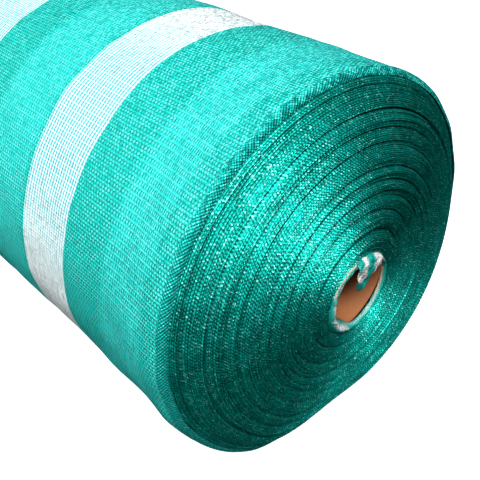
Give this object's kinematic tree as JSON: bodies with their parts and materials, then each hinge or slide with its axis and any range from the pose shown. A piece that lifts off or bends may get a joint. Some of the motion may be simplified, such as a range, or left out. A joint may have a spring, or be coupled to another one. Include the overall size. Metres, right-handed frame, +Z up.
{
  "type": "shade net roll",
  "caption": "Roll of knitted shade net with light stripes, wound on a cardboard tube, its inner end folded into the tube.",
  "frame": {"origin": "on the ground under the middle of the roll, at the centre of its box", "axes": "+X along the roll towards the end where the net is folded into the tube, +Z up"},
  "size_m": [1.0612, 0.3309, 0.3128],
  "materials": {
    "net": "knitted polyethylene tape and thread, sea green with white stripes, soft plastic sheen",
    "net_end": "the same knitted net, white and green rows",
    "cardboard": "spiral wound brown board, matt"
  },
  "bodies": {
    "root": {"net_roll": "net", "core_tube": "cardboard", "tucked_end": "net_end"}
  },
  "joints": []
}
